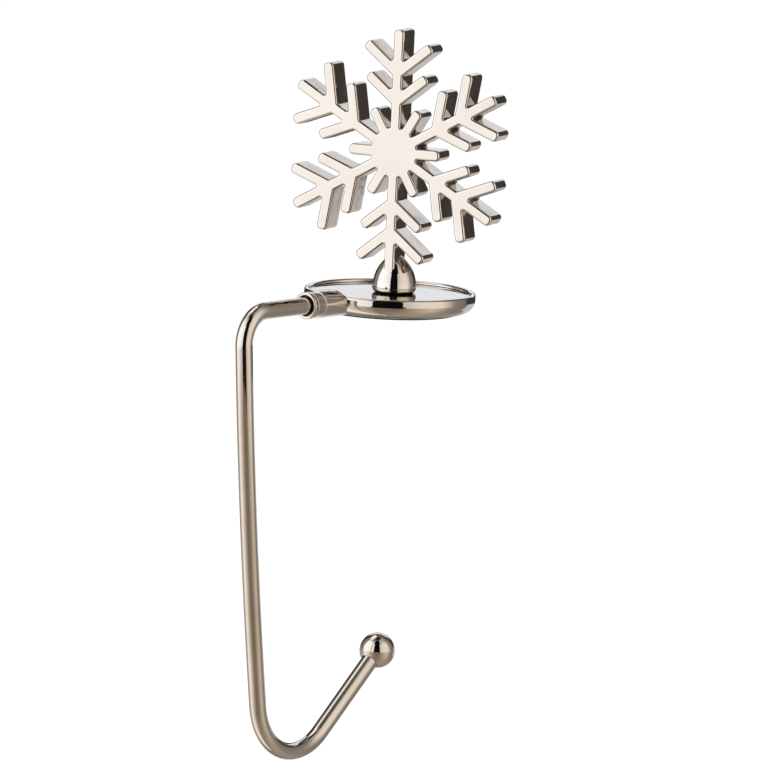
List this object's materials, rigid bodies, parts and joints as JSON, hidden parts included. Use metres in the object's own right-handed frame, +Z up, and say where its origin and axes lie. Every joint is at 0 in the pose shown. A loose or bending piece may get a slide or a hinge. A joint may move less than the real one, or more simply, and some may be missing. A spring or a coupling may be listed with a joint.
{
  "type": "mantel stocking holder",
  "caption": "Polished nickel stocking holder: a snowflake on a round dish that stands on a mantel shelf, with a bent rod that reaches over the edge to a ball-ended hook.",
  "frame": {"origin": "centre of the pad's underside, where the holder stands on the mantel shelf", "axes": "+Z up, -Y the way the arm reaches out over the shelf's edge"},
  "size_m": [0.0481, 0.07, 0.1574],
  "materials": {
    "dish_nickel": "polished warm nickel plate on a zinc casting",
    "flake_nickel": "polished warm nickel plate on a zinc casting, as cast under the plate on its side walls",
    "rod_nickel": "polished warm nickel plate on steel wire",
    "screw_zinc": "bright zinc plate",
    "pad_rubber": "matt black, fine grain"
  },
  "bodies": {
    "root": {"base_dish": "dish_nickel", "snowflake": "flake_nickel", "hook_rod": "rod_nickel", "ball_end": "rod_nickel", "fixing_screw": "screw_zinc", "non_slip_pad": "pad_rubber"}
  },
  "joints": []
}
